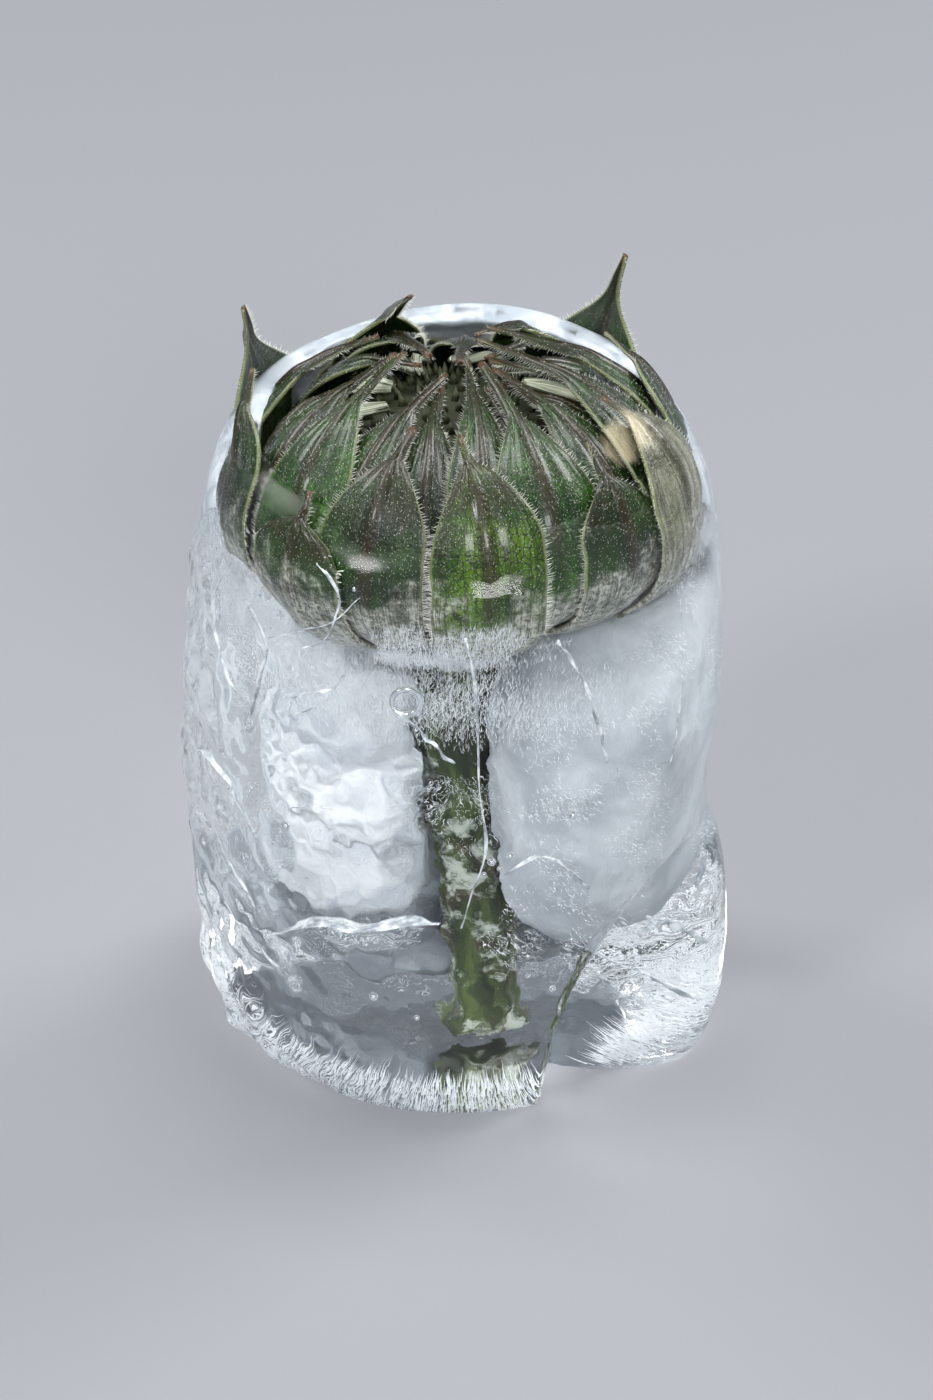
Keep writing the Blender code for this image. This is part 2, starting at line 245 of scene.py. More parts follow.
skin = Shading("stem skin", roughness=0.5)
along = skin.place(scale=(1, 1, 0.16))
streaks = skin.noise(along, 700, 4, 0.6, 0.4)
blotches = skin.noise(skin.place(), 210, 4, 0.6)
green = skin.mixed(skin.ramp(streaks, 0.36, 0.66), (0.008, 0.018, 0.004, 1), (0.075, 0.110, 0.026, 1))
browned = skin.mixed(skin.ramp(blotches, 0.50, 0.66, 0.0, 0.8), green, (0.050, 0.042, 0.020, 1))
patches = skin.ramp(skin.noise(skin.place(), 190, 6, 0.75), 0.50, 0.62, 0.0, 0.8)
frosted = skin.mixed(patches, browned, (0.60, 0.66, 0.58, 1))
skin.set(base_color=frosted)
skin.relief(streaks, 0.5, 0.0004)
dress(stem, skin.material, "stem", "stem")

# The fleshy base: the green disc of tissue at the stem's top, which the bracts grow from. Only
# slits of it show between the bracts, so its own solid stays and gets a finish.
flesh = Shading("base flesh", roughness=0.55)
flesh_green = flesh.mixed(flesh.noise(flesh.place(), 400), (0.16, 0.23, 0.08, 1), (0.30, 0.36, 0.16, 1))
flesh.set(base_color=flesh_green)
flesh.relief(flesh.noise(flesh.place(), 900), 0.4, 0.0003)
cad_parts["flower_base"].data.materials.clear()
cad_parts["flower_base"].data.materials.append(flesh.material)

# The closed disc: hundreds of unopened florets packed on the base in crossing spirals, each a
# small pointed bud. They show through the gap between the bracts' tips.
HEAD_HEIGHT = 79.0
HEAD_RADIUS = 23.2
HEAD_RISE = 12.0
HEAD_DROP = 12.6
RING_STEP = 1.3
DISC_RING = -2
FLORETS = 420
FLORET_LENGTH = 2.0
FLORET_WIDTH = 1.5
FLORET_SPREAD = 11.5
DISC_RIM = -9
GOLDEN_TURN = 137.508


def at_azimuth(azimuth, radius, height):
    """The point this far from the middle, at degrees round it from the front towards the right."""
    turn = radians(azimuth)
    return Vector((radius * sin(turn), -radius * cos(turn), height))


def dome(outset, latitude):
    """Radius and height on the dome that lies this far outside the innermost ring of bracts."""
    turn = radians(latitude)
    rise = HEAD_RISE if latitude > 0 else HEAD_DROP
    return (HEAD_RADIUS + outset) * cos(turn), HEAD_HEIGHT + (rise + outset) * sin(turn)


def disc_point(u, v):
    latitude = mix(DISC_RIM, 90, v)
    radius, height = dome(DISC_RING * RING_STEP - 1.0, latitude)
    return at_azimuth(360 * u, radius, height)


disc = laid_grid("floret_bed", 48, 20, disc_point)
close_up(disc)
shade_smooth(disc)
bed = Shading("floret bed", roughness=0.7)
bed.set(base_color=bed.mixed(bed.noise(bed.place(), 600), (0.015, 0.022, 0.008, 1), (0.05, 0.06, 0.025, 1)))
dress(disc, bed.material, "floret_disc", "floret_disc")


def joined_spikes(name, roots, ways, lengths, widths, sides=3):
    """Closed spikes in one mesh: each a small foot and a point, from rows of roots and directions."""
    roots, ways = np.asarray(roots, float), np.asarray(ways, float)
    lengths, widths = np.asarray(lengths, float)[:, None], np.asarray(widths, float)[:, None]
    count = len(roots)
    aside = np.cross(ways, np.where(np.abs(ways[:, 2:3]) < 0.9, (0, 0, 1), (1, 0, 0)))
    aside /= np.linalg.norm(aside, axis=1, keepdims=True)
    other = np.cross(ways, aside)
    points = np.empty((count, sides + 1, 3))
    for side in range(sides):
        turn = 2 * pi * side / sides
        points[:, side] = roots + widths / 2 * (aside * cos(turn) + other * sin(turn))
    points[:, sides] = roots + ways * lengths
    first = (np.arange(count) * (sides + 1))[:, None]
    walls = [first + np.array([[side, (side + 1) % sides, sides]]) for side in range(sides)]
    faces = np.concatenate(walls).tolist() + (first + np.arange(sides)[::-1][None]).tolist()
    mesh = bpy.data.meshes.new(name)
    mesh.from_pydata((points.reshape(-1, 3) * MM).tolist(), [], faces)
    piece = bpy.data.objects.new(name, mesh)
    bpy.context.scene.collection.objects.link(piece)
    return piece


floret_rows = []
for number in range(FLORETS):
    latitude = 90 - degrees(number / FLORETS) ** 0.5 * FLORET_SPREAD
    radius, height = dome(DISC_RING * RING_STEP - 1.2, latitude)
    root = at_azimuth(number * GOLDEN_TURN, radius, height)
    out = (root - Vector((0, 0, HEAD_HEIGHT - 14))).normalized()
    floret_rows.append((root, out))
florets = joined_spikes(
    "florets", [row[0] for row in floret_rows], [row[1] for row in floret_rows],
    [FLORET_LENGTH] * FLORETS, [FLORET_WIDTH] * FLORETS, sides=6,
)
shade_smooth(florets)
bud_green = Shading("floret buds", roughness=0.6)
floret_grain = bud_green.noise(bud_green.place(), 500)
bud_green.set(base_color=bud_green.mixed(floret_grain, (0.020, 0.026, 0.010, 1), (0.070, 0.080, 0.030, 1)))
dress(florets, bud_green.material, "floret_disc")

# The young petals: pale, limp strips that lie folded in over the disc. The gap at the front left
# between the bracts shows them best, wet and streaked.
PETAL_RING = -1
PETAL_COUNT = 11
PETAL_WIDTH = 7.4
PETAL_FOOT = -4
PETAL_TIP = 66
PETAL_SWEEP = 20
PETAL_THICKNESS = 0.3

petal_skin = Shading("young petal", roughness=0.35)
petal_along = petal_skin.place("UV", scale=(22, 1.2, 1))
petal_streaks = petal_skin.noise(petal_along, 1.0, 3)
petal_light = petal_skin.ramp(petal_streaks, 0.38, 0.60)
petal_skin.set(base_color=petal_skin.mixed(petal_light, (0.05, 0.08, 0.03, 1), (0.74, 0.78, 0.60, 1)))
petal_skin.relief(petal_streaks, 0.7, 0.0004)


def petal_place(number):
    azimuth = 360 * number / PETAL_COUNT

    def place(u, v):
        across = 2 * u - 1
        fold = 0.35 * cos(across * 9 + number) + 0.9 * noise.noise(Vector((across, v * 3, number * 7.3)))
        radius, height = dome(PETAL_RING * RING_STEP + fold, mix(PETAL_FOOT, PETAL_TIP, v))
        half = PETAL_WIDTH / 2 * (1 - 0.82 * v ** 2)
        turn = azimuth + PETAL_SWEEP * v ** 2 + degrees(across * half / radius)
        return at_azimuth(turn, radius, height)

    return place


for number in range(PETAL_COUNT):
    petal = laid_grid(f"petal_strip_{number + 1}", 10, 24, petal_place(number))
    apply_modifier(petal, "SOLIDIFY", thickness=PETAL_THICKNESS * MM, offset=1)
    shade_smooth(petal)
    dress(petal, petal_skin.material, "petal", f"petal_{number + 1}")

# The bracts: 33 leaves in five rings that close over the flower like scales. Each is a stiff
# green blade with ribs and a raised midrib that runs out to a thin brown tail, fringed with
# hairs. Most tips lean in over the flower, and a few stand up out of the ice.
BRACT_THICKNESS = 0.5
BRACT_FOOT_RADIUS = 8.0
BRACT_FOOT_SHARE = 0.34
BRACT_TIP_SHARE = 0.02
BRACT_TAIL_SHARE = 0.08
BRACT_FULL_UNTIL = 0.25
BRACT_TAPER = 0.45
STANDING_TAPER = 1.1
STANDING_LIFT = 12.0
BRACT_TAILS = {4: 4.0, 3: 4.5, 2: 9.0, 1: 7.0, 0: 6.0}
BRACT_BULGE = 0.75
MIDRIB_HEIGHT = 0.34
MIDRIB_SPREAD = 0.10
RIB_HEIGHT = 0.07
RIB_COUNT = 2.5
LOWER_LENGTH = 29.0
CURVED_LENGTH = 1.08
TAIL_CURLS = {"3_5": 4.2, "2_2": 1.0, "4_6": 0.8, "3_3": 1.2}

# Each bract: azimuth and width of its blade, where its tip lies (x and y), and how far the tip
# stands up off the head's dome.
BRACTS = {
    4: (
        (7, 13.4, 0.1, -16.8, 0.0),
        (-43, 13.0, -17.5, -18.8, 0.0),
        (71, 14.5, 17.0, -6.0, 0.0),
        (144, 15.0, 20.5, 19.5, 18.0),
        (190, 14.5, -4.5, 25.5, 0.0),
        (240, 15.0, -26.4, 8.0, 14.0),
    ),
    3: (
        (-23, 13.2, -5.6, -14.0, 0.0),
        (46, 13.2, 15.0, -14.0, 0.0),
        (102, 13.0, 18.0, 15.5, 3.0),
        (165, 13.8, 6.0, 22.0, 0.0),
        (212, 13.8, -12.0, 19.5, 0.0),
        (-79, 12.8, -25.0, 2.5, 7.0),
    ),
    2: (
        (26, 13.5, 2.7, -1.0, 0.5),
        (74, 12.5, 2.0, 4.5, 0.8),
        (107, 12.0, 3.4, 6.8, 0.5),
        (156, 12.5, 2.0, 8.5, 0.0),
        (206, 12.5, -5.6, 6.5, 2.2),
        (252, 12.0, -10.0, 9.0, 1.0),
        (-49, 12.5, -6.6, 2.5, 0.6),
    ),
    1: (
        (8, 9.5, 0.9, 3.0, 0.0),
        (52, 10.5, 4.0, 1.0, 0.0),
        (92, 10.5, 3.5, 3.0, 0.0),
        (146, 10.5, 3.0, 4.5, 0.0),
        (205, 11.0, -4.0, 5.0, 0.0),
        (-68, 10.5, -7.5, 4.5, 0.0),
        (-34, 10.5, -1.9, -0.5, 0.0),
    ),
    0: (
        (-11, 9.5, -2.3, -1.5, 0.0),
        (30, 9.5, 3.0, -2.0, 0.0),
        (76, 9.0, 4.0, 0.0, 0.0),
        (126, 9.0, 3.0, 3.0, 0.0),
        (178, 9.0, 0.0, 5.0, 0.0),
        (230, 9.0, -5.0, 5.0, 0.0),
        (-90, 9.0, -11.5, 4.5, 0.0),
    ),
}


class Bract:
    """The form of one bract: its midline over the head, its outline and its relief."""

    def __init__(self, ring, shape, seed, curl):
        azimuth, self.width, tip_x, tip_y, self.lift = shape
        self.curl = curl + 0.9 * abs(noise.noise(Vector((seed * 1.7, 2.0, 5.0))))
        self.azimuth, self.seed = azimuth, seed
        self.radius = HEAD_RADIUS + ring * RING_STEP
        self.rise = HEAD_RISE + ring * RING_STEP
        self.drop = HEAD_DROP + ring * RING_STEP
        self.foot = acos(BRACT_FOOT_RADIUS / self.radius)
        self.start = at_azimuth(azimuth, self.radius, 0)
        self.tip = Vector((tip_x, tip_y, 0))
        self.side = at_azimuth(azimuth + 90, 1, 0)
        run = (self.tip - self.start).normalized()
        self.tip_side = Vector((run.y, -run.x, 0))
        if self.tip_side.dot(self.side) < 0:
            self.tip_side.negate()
        upper = hypot((self.tip - self.start).length, self.over_dome(self.tip) + self.lift)
        upper *= CURVED_LENGTH
        lower = LOWER_LENGTH * self.radius / (HEAD_RADIUS + max(BRACTS) * RING_STEP)
        self.length = lower + upper
        self.equator = lower / self.length
        self.tail = BRACT_TAILS[ring] / upper
        self.standing = min(self.lift / STANDING_LIFT, 1.0)

    def over_dome(self, plan):
        """Height of the dome above its widest ring over this place."""
        return self.rise * max(0.0, 1 - (plan.x ** 2 + plan.y ** 2) / self.radius ** 2) ** 0.5

    def outline(self, v):
        """The blade's width there, as a share of its widest."""
        if v < self.equator:
            return mix(BRACT_FOOT_SHARE, 1.0, sin(pi / 2 * v / self.equator))
        t = (v - self.equator) / (1 - self.equator)
        taper = (t - BRACT_FULL_UNTIL) / max(1 - self.tail - BRACT_FULL_UNTIL, 0.1)
        taper = min(max(taper, 0.0), 1.0)
        tail = mix(BRACT_TAIL_SHARE, BRACT_TIP_SHARE, max(0.0, (t - 1 + self.tail) / self.tail))
        return mix(tail, 1.0, ((1 + cos(pi * taper)) / 2) ** mix(BRACT_TAPER, STANDING_TAPER, self.standing))

    def relief(self, across, v):
        """How far the blade stands out there: its bulge, midrib, ribs and turned-up edges."""
        ends = smoothstep(6 * min(v, 1 - v))
        t = max(0.0, (v - self.equator) / (1 - self.equator))
        blade = ends * (1 - smoothstep((t - 1 + self.tail) / 0.12 + 0.5))
        rise = BRACT_BULGE * (1 - across ** 2) * blade
        midrib = MIDRIB_HEIGHT * exp(-((across / MIDRIB_SPREAD) ** 2)) * ends
        rise += midrib * mix(0.3, 1.0, smoothstep(t * 2))
        rise += RIB_HEIGHT * cos(2 * pi * RIB_COUNT * across) * blade * smoothstep(v * 2)
        rise += 0.30 * across ** 6 * blade
        rise += 0.22 * noise.noise(Vector((across * 1.3, v * 5.0, self.seed * 5.7)))
        return rise + (1 - blade) * 0.45 * self.width * BRACT_TAIL_SHARE * (1 - across ** 2) * ends

    def place(self, u, v):
        """The surface, u of the way across and v of the way from the foot to the tip."""
        across = 2 * u - 1
        ragged = 1 + 0.04 * noise.noise(Vector((v * 11, self.seed * 2.3, 4.0 * (across > 0))))
        half = self.width * self.outline(v) / 2 * ragged
        if v < self.equator:
            latitude = -self.foot * (1 - v / self.equator)
            reach = self.radius * cos(latitude)
            turn = degrees(across * half / max(reach, half + 0.5))
            point = at_azimuth(self.azimuth + turn, reach, self.drop * sin(latitude))
            normal = Vector((point.x, point.y, 0)) / self.radius ** 2
            normal.z = point.z / self.drop ** 2
        else:
            t = (v - self.equator) / (1 - self.equator)
            plan = self.tip + (self.start - self.tip) * cos(pi / 2 * t)
            wander = 1.6 * noise.noise(Vector((t * 2.2, self.seed * 3.1, 0.0)))
            wander *= smoothstep(t * 2 - 1) * (1 - t * 0.5)
            turn = across * half / max(plan.length, half + 0.5)
            turned = plan * cos(turn) + Vector((-plan.y, plan.x, 0)) * sin(turn)
            straight = plan + self.tip_side * (across * half + wander)
            point = turned.lerp(straight, smoothstep(t * 1.6) * (1 - self.standing))
            if point.length > self.radius:
                point *= self.radius / point.length
            point.z = self.over_dome(point) + self.lift * t ** 1.4
            point.z += self.curl * max(0.0, (t - 1 + 1.6 * self.tail) / (1.6 * self.tail)) ** 1.5
            upright = 1 - self.standing * smoothstep(t * 2)
            normal = Vector((point.x / self.radius ** 2, point.y / self.radius ** 2, 0))
            normal.z = self.over_dome(point) / self.rise ** 2 * upright
        point.z += HEAD_HEIGHT
        return point + normal.normalized() * self.relief(across, v)


DRIED_PATCH = Vector((19.9, -9.2, 88.3)) * MM


def leaf_finish(name, dark, light, browned, veined):
    """A bract's skin: ribs with painted shade in their grooves, a net of veins, a brown midrib and tail, a
    painted highlight along its edges, pale specks that are partly painted glints, and frost.
    """
    leaf = Shading(name, roughness=0.32, coat_weight=0.35, coat_roughness=0.12)
    at, along = leaf.place(), leaf.place("UV")
    u, v = leaf.axis(along, "X"), leaf.axis(along, "Y")
    off_middle = leaf.math("ABSOLUTE", leaf.math("SUBTRACT", u, 0.5))
    grain = leaf.noise(at, 260, 4, 0.6)
    ribs = leaf.noise(leaf.place("UV", scale=(20, 1.1, 1)), 1.0, 2, 0.5, 0.3)
    blade = leaf.mixed(leaf.ramp(leaf.noise(at, 120, 3), 0.38, 0.62), dark, light)
    # Painted shade: the grooves between the ribs are darkened towards black.
    blade = leaf.mixed(leaf.ramp(ribs, 0.40, 0.58, 0.5, 0.0), blade, (0.004, 0.009, 0.002, 1))
    net = leaf.cells(leaf.place("UV", scale=(15, 42, 1)), 1.0, "DISTANCE_TO_EDGE")
    blade = leaf.mixed(leaf.ramp(net, 0.015, 0.09, veined, 0.0), blade, (0.006, 0.014, 0.003, 1))
    olive = leaf.math("MULTIPLY", leaf.ramp(v, 0.58, 0.90), leaf.ramp(grain, 0.42, 0.62, 0.0, 0.75))
    blade = leaf.mixed(olive, blade, (0.026, 0.030, 0.007, 1))
    on_midrib = leaf.math("MULTIPLY", leaf.ramp(off_middle, 0.015, 0.09, 1.0, 0.0), leaf.ramp(v, 0.35, 0.70))
    brown = leaf.math("MAXIMUM", leaf.ramp(v, 0.76, 0.94), on_midrib)
    brown = leaf.math("MULTIPLY", brown, leaf.ramp(grain, 0.3, 0.6, 0.5, browned), clamp=True)
    blade = leaf.mixed(brown, blade, (0.030, 0.019, 0.006, 1))
    blade = leaf.mixed(leaf.ramp(v, 0.960, 0.995, 0.0, 0.8), blade, (0.12, 0.058, 0.022, 1))
    # Painted highlight: a pale band along both edges of the blade.
    blade = leaf.mixed(leaf.ramp(off_middle, 0.465, 0.498, 0.0, 0.6), blade, (0.36, 0.41, 0.19, 1))
    away = leaf.node("ShaderNodeVectorMath", operation="DISTANCE")
    leaf.put(at, away.inputs[0])
    away.inputs[1].default_value = DRIED_PATCH
    dried = leaf.math("ADD", away.outputs["Value"], leaf.math("MULTIPLY", grain, 0.003))
    blade = leaf.mixed(leaf.ramp(dried, 0.0034, 0.0052, 0.9, 0.0), blade, (0.62, 0.55, 0.36, 1))
    # Pale specks: partly the tips of hairs too fine to model, partly painted glints where the hairs catch
    # the light.
    hair_and_glint_specks = leaf.ramp(leaf.cells(at, 2300), 0.10, 0.20, 0.65, 0.0)
    blade = leaf.mixed(hair_and_glint_specks, blade, (0.62, 0.66, 0.50, 1))
    height = leaf.axis(at, "Z")
    line = leaf.math("ADD", height, leaf.math("MULTIPLY", leaf.math("SUBTRACT", grain, 0.5), 0.026))
    streaks = leaf.noise(leaf.place("UV", scale=(60, 3, 1)), 1.0, 5, 0.7)
    crystals = leaf.math("MULTIPLY", leaf.noise(at, 1300, 4, 0.7), 0.55)
    crystals = leaf.math("ADD", leaf.math("MULTIPLY", streaks, 0.45), crystals)
    frost_colour = leaf.mixed(leaf.ramp(crystals, 0.42, 0.60), (0.09, 0.10, 0.055, 1), (0.78, 0.79, 0.70, 1))
    leaf.set(base_color=leaf.mixed(leaf.ramp(line, 0.0700, 0.0790, 0.92, 0.0), blade, frost_colour))
    fine = leaf.noise(at, 1500, 3, 0.6)
    leaf.relief(leaf.math("ADD", leaf.math("MULTIPLY", ribs, 0.8), fine), 0.7, 0.0003)
    return leaf.material


dark_leaf = leaf_finish("dark bract", (0.004, 0.020, 0.001, 1), (0.018, 0.068, 0.003, 1), 0.9, 0.45)
middle_leaf = leaf_finish("green bract", (0.010, 0.052, 0.001, 1), (0.045, 0.150, 0.003, 1), 0.8, 0.6)
# Painted light: the front middle bract, 1_1, gets a brighter green, painted as the glow of light shining
# through it from behind.
backlit_glow_leaf = leaf_finish("bract with painted glow", (0.026, 0.080, 0.002, 1), (0.105, 0.215, 0.004, 1), 0.7, 0.9)
pale_leaf = leaf_finish("pale bract", (0.110, 0.120, 0.070, 1), (0.420, 0.420, 0.300, 1), 0.5, 0.35)
FINISHES = {"1_1": backlit_glow_leaf, "1_3": pale_leaf, "3_1": middle_leaf, "3_7": middle_leaf, "4_1": middle_leaf}

bracts = {}
for ring, shapes in BRACTS.items():
    for number, shape in enumerate(shapes, 1):
        name = f"{len(BRACTS) - ring}_{number}"
        form = Bract(ring, shape, ring * 10 + number, TAIL_CURLS.get(name, 0.0))
        bract = laid_grid(f"bract_leaf_{name}", 24, 60, form.place)
        apply_modifier(bract, "SOLIDIFY", thickness=BRACT_THICKNESS * MM, offset=1)
        shade_smooth(bract)
        dress(bract, FINISHES.get(name, dark_leaf), "bract", f"bract_{name}")
        bracts[name] = form

# The hairs: stiff white bristles along every bract's edges, and short pale ones all over its
# outside, which glisten where they stand in the air.
FRINGE_FROM = 0.38
FRINGE_STEP = 0.27
FRINGE_LENGTH = 1.6
FRINGE_WIDTH = 0.12
COAT_FROM = 0.4
COAT_STEP = 0.62
COAT_LENGTH = 0.24
COAT_WIDTH = 0.05

hair = Shading("white hair", roughness=0.3)
hair.set(base_color=hair.mixed(hair.noise(hair.place(), 900), (0.74, 0.74, 0.64, 1), (0.92, 0.93, 0.90, 1)))
chance = random.Random(5)


def some_way(spread):
    return Vector([chance.uniform(-spread, spread) for axis in range(3)])


def leaf_directions(form, u, v, reach=0.01):
    """A point of a bract with its outward normal and the directions across and along it."""
    point = form.place(u, v)
    across = (form.place(min(u + reach, 1), v) - form.place(max(u - reach, 0), v)).normalized()
    along = (form.place(u, min(v + reach, 1)) - form.place(u, max(v - reach, 0))).normalized()
    return point, across.cross(along).normalized(), across, along


for ring in BRACTS:
    roots, ways, lengths, widths = [], [], [], []
    for form in [bracts[name] for name in bracts if int(name[0]) == len(BRACTS) - ring]:
        steps = int(form.length / FRINGE_STEP)
        for step in range(int(steps * FRINGE_FROM), steps):
            v = step / steps
            for u, side in ((0.0, -1), (1.0, 1)):
                point, normal, across, along = leaf_directions(form, u, v)
                roots.append(point + normal * BRACT_THICKNESS * 0.5)
                ways.append((across * side + along * 0.5 + normal * 0.3 + some_way(0.35)).normalized())
                lengths.append(FRINGE_LENGTH * chance.uniform(0.5, 1.2) * mix(1.1, 0.45, v))
                widths.append(FRINGE_WIDTH)
        rows = int(form.length / COAT_STEP)
        for row in range(int(rows * COAT_FROM), rows):
            for hair_number in range(max(2, int(form.width * form.outline(row / rows) / COAT_STEP))):
                v = min((row + chance.random()) / rows, 0.995)
                point, normal, across, along = leaf_directions(form, chance.uniform(0.03, 0.97), v)
                roots.append(point + normal * BRACT_THICKNESS)
                ways.append((normal * 0.8 + along * 0.9 + some_way(0.4)).normalized())
                lengths.append(COAT_LENGTH * chance.uniform(0.5, 1.3))
                widths.append(COAT_WIDTH)
    coat = joined_spikes(f"bract_hairs_{len(BRACTS) - ring}", roots, ways, lengths, widths)
    dress(coat, hair.material, "bract")

# The ice: one clear, melt-rounded block that stands on its flat foot. It froze round the bud in
# a cup, and has since lost a shell at the front right, where a clear lobe still stands.
ICE_RADIUS = 35.0
ICE_MIDDLE = 44.0
ICE_RISE = 43.6
ICE_DROP = 44.6
ICE_SQUARENESS_UP = 6.0
ICE_SQUARENESS_DOWN = 8.0
ICE_TAPER = 2.6
ICE_TAPER_FROM = 46.0
ICE_TOP_SLOPE = 0.045
ICE_BACK_RISE = 0.055
MELT_MARKS = (
    (-88, 44, 34, 22, 0.5),
    (-38, 58, 24, 13, -1.0),
    (-12, 30, 20, 14, 0.6),
    (-60, 18, 18, 11, -0.9),
    (22, 62, 20, 15, 0.6),
    (72, 60, 30, 16, -1.5),
    (92, 36, 36, 13, -2.8),
    (84, 81, 34, 9, -0.9),
    (168, 84, 26, 8, 1.0),
    (136, 50, 28, 20, -1.0),
    (205, 34, 26, 18, 0.7),
    (240, 64, 24, 14, -0.8),
)
FLAKE = ((36.2, -25.0, 4.0), (26.2, 25.0, 33.5), 2.2)
LOBE = ((19.4, -6.6, 16.0), (15.3, 14.9, 23.6), 2.7)
HOLLOW_RADIUS = 24.6
HOLLOW_FLOOR = 80.0
VOXEL = 0.62
LUMP_GRID = (64, 40)
SATIN_FROM = 0.0780
SATIN_TO = 0.0850


def melt_depth(azimuth, height):
    """How far the melted surface stands out of the plain rounded cylinder there."""
    depth = 0.0
    for mark_azimuth, mark_height, spread, tall, amount in MELT_MARKS:
        turn = (azimuth - mark_azimuth + 180) % 360 - 180
        depth += amount * exp(-((turn / spread) ** 2) - ((height - mark_height) / tall) ** 2)
    return depth


def ice_point(direction):
    """The point of the block's skin that lies in this direction from its middle."""
    flat = hypot(direction.x, direction.y)
    rising = direction.z > 0
    reach_up = ICE_RISE if rising else ICE_DROP
    power = ICE_SQUARENESS_UP if rising else ICE_SQUARENESS_DOWN
    reach = ((flat / ICE_RADIUS) ** power + (abs(direction.z) / reach_up) ** power) ** (-1 / power)
    height = ICE_MIDDLE + reach * direction.z
    share = reach * flat / ICE_RADIUS
    azimuth = degrees(atan2(direction.x, -direction.y))
    taper = ICE_TAPER * smoothstep((height - ICE_TAPER_FROM) / (ICE_MIDDLE + ICE_RISE - ICE_TAPER_FROM))
    radius = share * (ICE_RADIUS - taper + melt_depth(azimuth, height))
    point = at_azimuth(azimuth, radius, height)
    slope = ICE_TOP_SLOPE * point.y + ICE_BACK_RISE * max(point.y, 0.0)
    point.z += slope * smoothstep((height - ICE_MIDDLE) / ICE_RISE)
    point.z = max(point.z, 0.0)
    return point


def squared_point(direction, middle, radii, squareness):
    """The point in this direction on an ellipsoid that a higher squareness swells to a box."""
    total = sum(abs(part / radius) ** squareness for part, radius in zip(direction, radii))
    return Vector(middle) + direction * total ** (-1 / squareness)


def shaped_sphere(name, segments, rings, place):
    """A sphere primitive whose points are put where place says, from their direction."""
    piece = add_only(bpy.ops.mesh.primitive_uv_sphere_add, segments=segments, ring_count=rings, radius=1)
    piece.name = piece.data.name = name
    for vert in piece.data.vertices:
        vert.co = place(vert.co.normalized()) * MM
    return piece


def combine(piece, other, operation):
    apply_modifier(piece, "BOOLEAN", operation=operation, object=other)
    bpy.data.objects.remove(other)


ice = shaped_sphere("ice_body", 160, 110, ice_point)
combine(ice, shaped_sphere("lost_flake", *LUMP_GRID, lambda way: squared_point(way, *FLAKE)), "DIFFERENCE")
combine(ice, shaped_sphere("lobe", *LUMP_GRID, lambda way: squared_point(way, *LOBE)), "UNION")
hollow = add_only(
    bpy.ops.mesh.primitive_cylinder_add, vertices=64, radius=HOLLOW_RADIUS * MM, depth=20 * MM,
    location=(0, 0, (HOLLOW_FLOOR + 10) * MM),
)
combine(ice, hollow, "DIFFERENCE")
apply_modifier(ice, "REMESH", mode="VOXEL", voxel_size=VOXEL * MM)
apply_modifier(ice, "SMOOTH", factor=0.5, iterations=6)


def ripple(point):
    """How far the melted surface swells and sinks at this point of it."""
    azimuth = degrees(atan2(point.x, -point.y))
    left = exp(-(((azimuth + 62) / 38) ** 2)) * smoothstep((78 - point.z) / 14)
    swell = 0.55 * noise.noise(point * 0.055 + Vector((3.1, 0.4, 8.8)))
    dents = mix(0.10, 0.95, left) * noise.noise(point * 0.17)
    low = exp(-(((point.z - 17) / 9) ** 2))
    creases = mix(0.04, 0.42, max(left, 0.4 * low)) * noise.noise(point * 0.42 + Vector((9.0, 2.0, 1.0)))
    return swell + dents + creases


for vert, normal in zip(ice.data.vertices, [vert.normal.copy() for vert in ice.data.vertices]):
    point = vert.co / MM
    if point.z > 0.4:
        vert.co += normal * ripple(point) * smoothstep(point.z / 4) * MM
    vert.co.z = max(vert.co.z, 0.0)
shade_smooth(ice)

clear = Shading("clear ice", roughness=0.03, ior=1.31, transmission_weight=1.0)
clear.set(base_color=(0.975, 0.99, 1.0, 1))
clear_at = clear.place()
clear_height = clear.axis(clear_at, "Z")
satin = clear.ramp(clear_height, SATIN_FROM, SATIN_TO, 0.025, 0.34)
clear.set(roughness=satin)
clear.relief(clear.noise(clear_at, 260, 3, 0.5), 0.14, 0.0006)
dress(ice, clear.material, "clear_ice", "ice_block")
ice.visible_shadow = False

UNDER_SKIN = 0.3
ice_skin = BVHTree.FromPolygons(
    [vert.co / MM for vert in ice.data.vertices], [tuple(face.vertices) for face in ice.data.polygons],
)


def depth_in_ice(point):
    """How far this point is under the ice's skin, in millimetres, or below 0 outside the ice."""
    nearest, normal, face, distance = ice_skin.find_nearest(point)
    return distance if (point - nearest).dot(normal) < 0 else -distance


def is_held(root, tip):
    """Whether the ice holds a bubble that runs from root to tip."""
    return min(depth_in_ice(root), depth_in_ice(tip)) > UNDER_SKIN


def sink(piece):
    """Moves the points of a piece that lie in the air, or too near it, to just under the skin."""
    for vert in piece.data.vertices:
        if depth_in_ice(vert.co / MM) < UNDER_SKIN:
            nearest, normal, face, distance = ice_skin.find_nearest(vert.co / MM)
            vert.co = (nearest - normal * UNDER_SKIN) * MM


